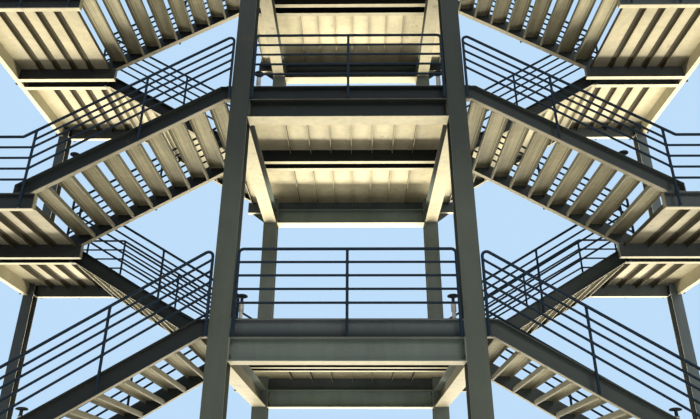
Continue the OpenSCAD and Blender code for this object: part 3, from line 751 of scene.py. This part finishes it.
def edge_top(u):
    """Upper edge of a stringer at u, from the upper landing."""
    return min(STRING_RISE - SLOPE * u, -DECK)


def feet_at(us, top=None, low=None):
    """Fixings of posts at us near both edges of the steel behind them, a stringer where none is given."""
    edges = [(u, edge_top(u) if top is None else top, edge_under(u) if low is None else low) for u in us]
    return [(u, h) for u, high, below in edges for h in (high - FIXING_IN, below + FIXING_IN)]


def level_railing(origin, run, inward, half, height, low):
    """Railing on a level edge, its ends bent down as posts to low, with one post in the middle."""
    corners = [(-half, low), (-half, height), (half, height), (half, low)]
    us = (-half, 0, half)
    return railing(origin, run, inward, corners, level_bars(us, height, 0), [(0, low, height)],
                   feet_at(us, -DECK, low))


def front_outer_railing(origin, run):
    """Railing on the outer side of a front flight, going on level along the mid landing."""
    floor = -STOREY / 2
    low, top = floor - SEAT_DROP, floor + MID_RAIL
    head, middle, foot = HEAD_POST, OUTER_MIDDLE_POST, FRONT_FOOT_POST
    end = OUT_INNER_X - POST_IN - FRONT_TOP_X
    between = (foot + end) / 2
    kink = (FRONT_LINE[0] - top) / FRONT_LINE[1]
    corners = [(head, -SEAT_DROP), (head, rail_h(FRONT_LINE, head)), (kink, top), (end, top), (end, low)]
    bars = sloping_bars((head, middle, foot), FRONT_LINE, LOWER_RAILS[:1])
    bars += level_bars((foot, between, end), top, floor)
    starts = [rail_h(FRONT_LINE, head) - i * RAIL_STEP for i in LOWER_RAILS[1:]]
    ends = [top - i * level_step(MID_RAIL) for i in LOWER_RAILS[:-1]]
    bars += crossing_bars((head, middle, foot), starts, ends)
    posts = [(middle, edge_under(middle), rail_h(FRONT_LINE, middle)), (foot, low, rail_h(FRONT_LINE, foot)),
             (between, low, top)]
    feet = feet_at((head, middle)) + feet_at((foot, between, end), floor - DECK, low)
    return railing(origin, run, TO_REAR, corners, bars, posts, feet)


def gap_railing(origin, run, inward, line, head, foot):
    """Railing on the gap side of a flight. Its lower end post stands on the lower landing, and is fixed to
    the stringer too where that reaches as far."""
    us = (head, INNER_MIDDLE_POST, foot)
    corners = [(head, edge_under(head)), (head, rail_h(line, head)), (foot, rail_h(line, foot)),
               (foot, -STOREY / 2)]
    posts = [(INNER_MIDDLE_POST, edge_under(INNER_MIDDLE_POST), rail_h(line, INNER_MIDDLE_POST))]
    feet = feet_at([u for u in us if u < RUN + SEAT])
    return railing(origin, run, inward, corners, sloping_bars(us, line), posts, feet)


def rear_outer_railing(origin, run, low):
    """Railing on the outer side of a rear flight, which starts level along the mid landing."""
    end, foot = REAR_TOP_X - OUT_INNER_X + POST_IN, REAR_TOP_X - FACE_X - HEAD_IN
    bend, middle = FAR_BEND_POST, OUTER_MIDDLE_POST
    between = (end + bend) / 2
    corners = [(end, -SEAT_DROP), (end, FAR_RAIL), (0, FAR_RAIL), (foot, rail_h(FAR_LINE, foot)),
               (foot, low)]
    bars = level_bars((end, between, bend), FAR_RAIL, 0)
    starts = [FAR_RAIL - i * level_step(FAR_RAIL) for i in LOWER_RAILS]
    ends = [rail_h(FAR_LINE, foot) - i * RAIL_STEP for i in LOWER_RAILS]
    bars += crossing_bars((bend, middle, foot), starts, ends)
    posts = [(bend, -SEAT_DROP, rail_h(FAR_LINE, bend)), (between, -SEAT_DROP, FAR_RAIL),
             (middle, edge_under(middle), rail_h(FAR_LINE, middle))]
    feet = feet_at((end, between, bend), -DECK, -SEAT_DROP) + feet_at((middle,))
    if low < -STOREY / 2:
        feet += feet_at((foot,), low + CHANNEL, low)
    return railing(origin, run, -TO_REAR, corners, bars, posts, feet)


def landing_railings(k, z):
    """Front and rear railings of a main landing, and the end railings of the top one's rear half."""
    side_half = COLUMN_X - COLUMN / 2 - POST_IN
    shapes = [level_railing((0, s * (SIDE_Y + STAND_OFF), z), ACROSS, -s * TO_REAR, side_half,
                            LANDING_RAIL, -SEAT_DROP) for s in (-1, 1)]
    if k == STOREYS[-1]:
        middle = (BAY_INNER_Y + BAY_OUTER_Y) / 2
        end_half = (BAY_OUTER_Y - BAY_INNER_Y) / 2 - POST_IN
        shapes.append(both_sides(level_railing((DECK_END_X + STAND_OFF, middle, z), TO_REAR, -ACROSS,
                                               end_half, LANDING_RAIL, -DECK - LIP)))
    return joined(shapes)


def side_railings(z):
    """Railings at the outer ends of both mid landings."""
    half = SIDE_Y - OUTER_COLUMN - POST_IN
    return both_sides(level_railing((OUT_X + STAND_OFF, 0, z), TO_REAR, -ACROSS, half, MID_RAIL, -SEAT_DROP))


def front_railings(z):
    """Railings of both front flights that start at z."""
    outer = front_outer_railing((FRONT_TOP_X, -SIDE_Y - STAND_OFF, z), ACROSS)
    inner = gap_railing((FRONT_TOP_X, STAND_OFF - GAP_Y, z), ACROSS, -TO_REAR, FRONT_LINE, INNER_HEAD_POST,
                        FRONT_INNER_FOOT_POST)
    return both_sides(joined([outer, inner]))


def rear_railings(k, z):
    """Railings of both rear flights that start at z. On the first storey their outer end posts stand on the
    columns' base plates."""
    low = -STOREY / 2 + (BASE_PLATE if k == 1 else -SEAT_DROP)
    outer = rear_outer_railing((REAR_TOP_X, SIDE_Y + STAND_OFF, z), -ACROSS, low)
    inner = gap_railing((REAR_TOP_X, GAP_Y - STAND_OFF, z), -ACROSS, TO_REAR, NEAR_LINE, HEAD_POST,
                        REAR_INNER_FOOT_POST)
    return both_sides(joined([outer, inner]))


def make_railings():
    """Every railing of the tower, one piece for each railing node of the solids."""
    for k in STOREYS:
        z, mid_z = k * STOREY, (k - 0.5) * STOREY
        for part, shape in ((f"landing_{k}", landing_railings(k, z)),
                            (f"mid_landing_{k}_side", side_railings(mid_z)),
                            (f"front_flight_{k}", front_railings(z)),
                            (f"rear_flight_{k}", rear_railings(k, mid_z))):
            add_piece(f"{part}_railings", shape, railing_paint, [f"{part}_rails"])


# Tread pans

def weld_bead(y, points=9, ripple=90):
    """Bead under a tread along its end at y: a bar whose radius swells and shrinks as a sine of ripple
    radians to the metre."""
    u = np.linspace(PLATE - TREAD, -PLATE, points)
    path = np.column_stack([u, np.full(points, y), np.full(points, -PLATE)])
    return tube(path, BEAD + BEAD_RIPPLE * np.sin(u * ripple), TO_REAR, sides=6)


def tread(y0, y1, bead_in=0.002):
    """Folded tread pan with rounded folds, its nosing at u = 0, and a weld bead under each of its ends."""
    t = PLATE / 2
    middle = bent([(RETURN - TREAD, t - BACK), (t - TREAD, t - BACK), (t - TREAD, -t), (-t, -t),
                   (-t, -NOSING)], TREAD_BEND, steps=4)
    return joined([folded_plate(middle, PLATE, y0, y1), weld_bead(y0 + bead_in), weld_bead(y1 - bead_in)])


def make_treads():
    """The treads of each flight, one piece for each tread node of the solids."""
    steps = np.arange(1, RISERS)[:, None] * (GOING, 0, -RISE)
    pan = tread(BAY_INNER_Y, BAY_OUTER_Y)
    front = repeated(turned_over(pan, (1, -1, 1)), steps)
    rear = turned_over(repeated(pan, steps), (-1, 1, 1))
    for k in STOREYS:
        for name, flight, place in (("front", front, (FRONT_TOP_X, 0, k * STOREY)),
                                    ("rear", rear, (REAR_TOP_X, 0, (k - 0.5) * STOREY))):
            shape = both_sides(repeated(flight, [place]))
            piece = add_piece(f"{name}_flight_{k}_tread_pans", shape, tread_paint,
                              [f"{name}_flight_{k}_treads"])
            across = piece.data.attributes.new("across", "FLOAT", "POINT")
            across.data.foreach_set("value", np.tile(pan[0][:, 0], len(shape[0]) // len(pan[0])))


# Bolts

def anchor(at, height=0.045, chamfer=(0.002, 0.003)):
    """Nut with a washer on a base plate, and the chamfered end of the anchor bolt above it."""
    inward, down = chamfer
    end = [(ANCHOR_R, 0), (ANCHOR_R, height - down), (ANCHOR_R - inward, height)]
    return joined([bolt(at, UP, ANCHOR_NUT), turned(end, at, UP, sides=8)])


def make_bolts():
    """Bolts of the beams' end plates, and nuts on the anchor bolts of the base plates."""
    shapes = []
    plate_x = COLUMN_X - COLUMN / 2 - END_PLATE
    for z in [k * STOREY - SEAT_DROP - BEAM / 2 for k in STOREYS]:
        shapes += [bolt((plate_x, s * COLUMN_Y + a, z + b), -ACROSS, PLATE_BOLT_HEAD)
                   for s in (-1, 1) for a, b in corners_of(PLATE_BOLT_Y, PLATE_BOLT_Z)]
    for x, y, pitch in ((COLUMN_X, COLUMN_Y, ANCHOR_PITCH),
                        (OUTER_COLUMN_X, OUTER_COLUMN_Y, OUTER_ANCHOR_PITCH)):
        shapes += [anchor(np.array((x + a, s * y + b, BASE_PLATE)))
                   for s in (-1, 1) for a, b in corners_of(pitch / 2, pitch / 2)]
    add_piece("frame_bolts", both_sides(joined(shapes)), bolt_paint)


# Step lights

def step_light_body(ribs=5, first_rib=0.135, rib_pitch=0.022, foot=0.05, lens=0.035, groove=0.006):
    """Foot, stem and ribbed lens of a step light, turned about its axis."""
    profile = [(foot, 0), (foot, 0.006), (LIGHT_STEM_R, 0.012), (LIGHT_STEM_R, 0.130)]
    for h in first_rib + rib_pitch * np.arange(ribs):
        profile += [(lens, h), (lens, h + 0.012), (lens - groove, h + 0.015), (lens - groove, h + 0.020)]
    return turned(profile + [(lens - groove, 0.265)], (0, 0, 0), UP, sides=16)


def step_light_cap(middle=0.012, dome_height=0.024):
    """Neck and mushroom cap of a step light: a rounded rim, and a dome whose height falls as a circle."""
    t = np.linspace(0, np.pi / 2, 7)
    dome = np.column_stack([middle + (LIGHT_CAP_R - middle) * np.cos(t), 0.345 + dome_height * np.sin(t)])
    neck = [(0.033, 0.262), (0.033, 0.268), (0.021, 0.272), (0.021, 0.330)]
    rim = [(0.068, 0.334), (0.074, 0.338)]
    return turned([*neck, *rim, *dome.tolist()], (0, 0, 0), UP, sides=24)


def make_step_lights():
    """Step lights beside the front columns and near the foot of each front flight."""
    beside_column = COLUMN_X - COLUMN / 2 - 2 * POST_IN
    y = LIGHT_CAP_R - BAY_OUTER_Y
    low = RISERS - 2
    on_tread = FRONT_TOP_X + low * GOING - TREAD + 2 * LIGHT_STEM_R
    places = []
    for z in [k * STOREY for k in STOREYS]:
        places += [(beside_column, y, z), (on_tread, y, z - low * RISE)]
    add_piece("step_light_bodies", both_sides(repeated(step_light_body(), places)),
              light_body, ["step_lights"])
    add_piece("step_light_caps", both_sides(repeated(step_light_cap(), places)), light_cap)


# Stage, lights and camera

def make_floor(half=60.0, colour=(0.80, 0.79, 0.76), roughness=0.8):
    """Plain pale ground, one square."""
    material = bpy.data.materials.new("ground")
    material.use_nodes = True
    shader = material.node_tree.nodes["Principled BSDF"]
    shader.inputs["Base Color"].default_value = (*colour, 1)
    shader.inputs["Roughness"].default_value = roughness
    mesh = bpy.data.meshes.new("ground")
    mesh.from_pydata([(-half, -half, 0), (half, -half, 0), (half, half, 0), (-half, half, 0)], [],
                     [(0, 1, 2, 3)])
    mesh.materials.append(material)
    ground = bpy.data.objects.new("ground", mesh)
    bpy.context.collection.objects.link(ground)


def area_lamp(name, place, aim, size, power, colour=(1, 1, 1), spread=180):
    """Soft rectangular lamp at place, facing aim, out of the camera's sight. Its light fans out by spread,
    in degrees."""
    data = bpy.data.lights.new(name, "AREA")
    data.shape, data.size, data.size_y = "RECTANGLE", *size
    data.energy, data.color, data.spread = power, colour, np.radians(spread)
    lamp = bpy.data.objects.new(name, data)
    z = unit(np.array(place, float) - np.array(aim, float))
    x = unit(np.cross(TO_REAR if abs(z[2]) > 0.9 else UP, z))
    turn = Matrix(np.column_stack([x, np.cross(z, x), z]).tolist())
    lamp.matrix_world = Matrix.Translation(place) @ turn.to_4x4()
    lamp.visible_camera = False
    bpy.context.collection.objects.link(lamp)


def make_world(strength, backdrop):
    """Even pale light, and a pale backdrop where the camera, gloss or glass sees the world."""
    world = bpy.data.worlds.new("studio")
    bpy.context.scene.world = world
    world.use_nodes = True
    tree = world.node_tree
    tree.nodes.clear()
    path = node(tree, "ShaderNodeLightPath").outputs
    seen = math(tree, "MAXIMUM", math(tree, "MAXIMUM", path["Is Camera Ray"], path["Is Glossy Ray"]),
                path["Is Transmission Ray"])
    light = node(tree, "ShaderNodeBackground", {"Color": (1, 1, 1, 1), "Strength": strength})
    wall = node(tree, "ShaderNodeBackground", {"Color": (*backdrop, 1), "Strength": 1.0})
    both = node(tree, "ShaderNodeMixShader", {0: seen, 1: light.outputs[0], 2: wall.outputs[0]})
    node(tree, "ShaderNodeOutputWorld", {0: both.outputs[0]})


def aim_camera(place, pitch, yaw, roll, lens, sensor=36.0):
    """Camera at place, raised by pitch, turned by yaw from +Y and rolled, all in degrees. Lens and sensor
    width are in millimetres."""
    p, y, r = np.radians([pitch, yaw, roll])
    ahead = np.array([np.sin(y) * np.cos(p), np.cos(y) * np.cos(p), np.sin(p)])
    side = np.array([np.cos(y), -np.sin(y), 0.0])
    over = np.cross(side, ahead)
    x = side * np.cos(r) + over * np.sin(r)
    up = over * np.cos(r) - side * np.sin(r)
    data = bpy.data.cameras.new("camera")
    data.lens, data.sensor_width, data.sensor_fit = lens, sensor, "HORIZONTAL"
    camera = bpy.data.objects.new("camera", data)
    turn = Matrix(np.column_stack([x, up, -ahead]).tolist())
    camera.matrix_world = Matrix.Translation(place) @ turn.to_4x4()
    bpy.context.collection.objects.link(camera)
    bpy.context.scene.camera = camera


paint_solids()
make_railings()
make_treads()
make_bolts()
make_step_lights()
make_floor()
make_world(strength=0.4, backdrop=(0.52, 0.73, 0.96))
area_lamp("overhead", place=(0, 0, 40), aim=(0, 0, 0), size=(40, 40), power=8500)
area_lamp("ground_bounce", place=(0, 2, 0.05), aim=(0, 2, 5), size=(36, 26), power=900,
          colour=(1.0, 0.94, 0.80))
area_lamp("rear_bounce", place=(0, 11.5, 0.05), aim=(0, 11.5, 5), size=(34, 3), power=13000,
          colour=(1.0, 0.93, 0.76))
area_lamp("front_fill", place=(16, -40, 16), aim=(0, 0, 4), size=(20, 8), power=555,
          colour=(1.0, 0.97, 0.90), spread=60)
aim_camera(place=(0.130, -10.080, 1.371), pitch=25.145, yaw=-0.687, roll=0.156, lens=33.105)
bpy.context.scene.view_settings.view_transform = "Standard"
